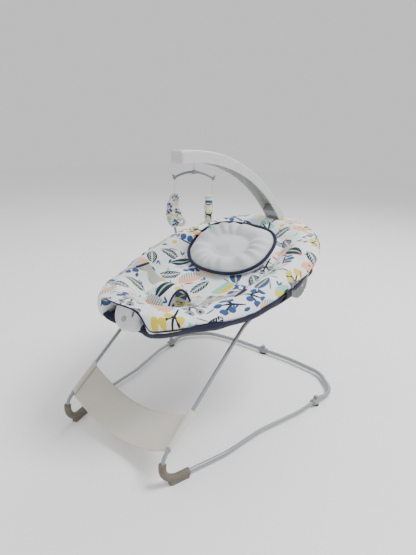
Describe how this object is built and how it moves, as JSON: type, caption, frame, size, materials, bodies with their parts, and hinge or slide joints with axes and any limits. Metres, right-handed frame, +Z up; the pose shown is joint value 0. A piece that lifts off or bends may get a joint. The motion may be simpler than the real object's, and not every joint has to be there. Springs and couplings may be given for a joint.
{
  "type": "baby bouncer seat",
  "caption": "Low bouncer seat: padded egg-shaped bowl on springy bent-wire legs, with a soothing unit at the foot end, a lap restraint, a leg sling and an arched toy arm with a hanging mobile.",
  "frame": {"origin": "on the floor, under the middle of the whole object's box", "axes": "+X is the width, +Y runs from the foot end to the head end, +Z is up"},
  "size_m": [0.5156, 0.65, 0.604],
  "materials": {
    "wire_paint": "satin light silver-grey powder coat",
    "tube_paint": "satin light silver-grey powder coat",
    "frame_tube": "satin",
    "foot_rubber": "matte taupe",
    "pad_rubber": "matte",
    "connector_plastic": "satin grey",
    "hub_plastic": "satin mid grey",
    "screw_steel": "plain",
    "unit_white": "satin white",
    "unit_back_grey": "satin",
    "cell_jacket": "gloss",
    "contact_steel": "bright",
    "speaker_black": "matte",
    "board_green": "gloss",
    "motor_steel": "plain",
    "weight_brass": "plain",
    "button_grey": "satin",
    "slider_grey": "satin",
    "lens_clear": "gloss",
    "arm_white": "satin white",
    "grip_grey": "satin mid grey",
    "socket_grey": "satin",
    "hanger_white": "satin",
    "spinner_grey": "satin",
    "toy_ribbon": "woven",
    "toy_plush": "short pile",
    "buckle_white": "satin",
    "webbing_grey": "woven",
    "crotch_fabric": "printed, padded",
    "insert_fabric": "soft knit",
    "sling_fabric": "plain weave",
    "pad_fabric": "printed, padded",
    "underside_fabric": "plain navy"
  },
  "bodies": {
    "base": {"floor_wire_left": "wire_paint", "floor_wire_right": "wire_paint", "front_foot_left": "foot_rubber", "front_foot_right": "foot_rubber", "rear_tube_left": "tube_paint", "rear_tube_right": "tube_paint", "connector_left": "connector_plastic", "connector_right": "connector_plastic", "connector_centre": "connector_plastic", "connector_pads": "pad_rubber", "connector_screws": "screw_steel"},
    "seat": {"riser_left": "wire_paint", "riser_right": "wire_paint", "seat_tube_head": "frame_tube", "seat_tube_foot": "frame_tube", "hub_left": "hub_plastic", "hub_right": "hub_plastic", "hub_cover_left": "hub_plastic", "hub_cover_right": "hub_plastic", "hub_screws": "screw_steel", "unit_case_front": "unit_white", "unit_case_back": "unit_back_grey", "battery_door": "unit_back_grey", "battery_cells": "cell_jacket", "battery_contacts": "contact_steel", "unit_screws": "screw_steel", "speaker": "speaker_black", "circuit_board": "board_green", "vibration_motor": "motor_steel", "indicator_lens": "lens_clear", "unit_bracket": "socket_grey", "arm_socket": "socket_grey", "buckle_housing": "buckle_white", "waist_strap_left": "webbing_grey", "waist_strap_right": "webbing_grey", "crotch_strap": "crotch_fabric", "head_insert": "insert_fabric", "leg_sling": "sling_fabric", "seat_pad": "pad_fabric", "underside_cover": "underside_fabric"},
    "power_button": {"power_button": "button_grey"},
    "volume_slider": {"volume_slider": "slider_grey"},
    "motor_weight": {"motor_weight": "weight_brass"},
    "buckle_button": {"buckle_button": "button_grey"},
    "tongue_left": {"buckle_tongue_left": "buckle_white"},
    "tongue_right": {"buckle_tongue_right": "buckle_white"},
    "toy_arm": {"toy_arm": "arm_white"},
    "arm_grip": {"arm_grip": "grip_grey"},
    "hanger": {"mobile_hanger": "hanger_white"},
    "spinner": {"spinner_bar": "spinner_grey"},
    "toy_left": {"toy_strap_left": "toy_ribbon", "soft_toy_left": "toy_plush"},
    "toy_right": {"toy_strap_right": "toy_ribbon", "soft_toy_right": "toy_plush"}
  },
  "joints": [
    {"name": "seat_bounce", "type": "hinge", "parent": "base", "child": "seat", "pos_m": [0, -0.2815, 0.047], "axis": [1, 0, 0], "range_deg": [-8, 3], "stiffness_Nm_per_rad": 170, "springref_deg": 2.75},
    {"name": "power_button_press", "type": "slide", "parent": "seat", "child": "power_button", "axis": [0, 0.9063, -0.4226], "range_m": [0, 0.0015], "stiffness_N_per_m": 600},
    {"name": "volume_slide", "type": "slide", "parent": "seat", "child": "volume_slider", "axis": [0, 0.4226, 0.9063], "range_m": [-0.004, 0.004]},
    {"name": "motor_weight_spin", "type": "hinge", "parent": "seat", "child": "motor_weight", "pos_m": [0.009, -0.24971, 0.28451], "axis": [1, 0, 0], "continuous": true},
    {"name": "buckle_button_press", "type": "slide", "parent": "seat", "child": "buckle_button", "axis": [0, 0, -1], "range_m": [0, 0.0015], "stiffness_N_per_m": 600},
    {"name": "tongue_left_pull", "type": "slide", "parent": "seat", "child": "tongue_left", "axis": [-1, 0, 0], "range_m": [0, 0.014]},
    {"name": "tongue_right_pull", "type": "slide", "parent": "seat", "child": "tongue_right", "axis": [1, 0, 0], "range_m": [0, 0.014]},
    {"name": "toy_arm_release", "type": "slide", "parent": "seat", "child": "toy_arm", "axis": [0, -0.6428, 0.766], "range_m": [0, 0.03]},
    {"name": "arm_grip_press", "type": "slide", "parent": "toy_arm", "child": "arm_grip", "axis": [0, 0.7314, 0.682], "range_m": [0, 0.0025], "stiffness_N_per_m": 900},
    {"name": "mobile_swing", "type": "hinge", "parent": "toy_arm", "child": "hanger", "pos_m": [0, -0.06739, 0.58334], "axis": [1, 0, 0], "range_deg": [-25, 25]},
    {"name": "spinner_spin", "type": "hinge", "parent": "hanger", "child": "spinner", "pos_m": [0, -0.06739, 0.55834], "axis": [0, 0, 1], "continuous": true},
    {"name": "toy_left_swing", "type": "hinge", "parent": "spinner", "child": "toy_left", "pos_m": [-0.03103, -0.09342, 0.54484], "axis": [-0.6428, 0.766, 0], "range_deg": [-20, 40]},
    {"name": "toy_right_swing", "type": "hinge", "parent": "spinner", "child": "toy_right", "pos_m": [0.03103, -0.04135, 0.54484], "axis": [-0.6428, 0.766, 0], "range_deg": [-40, 20]}
  ]
}
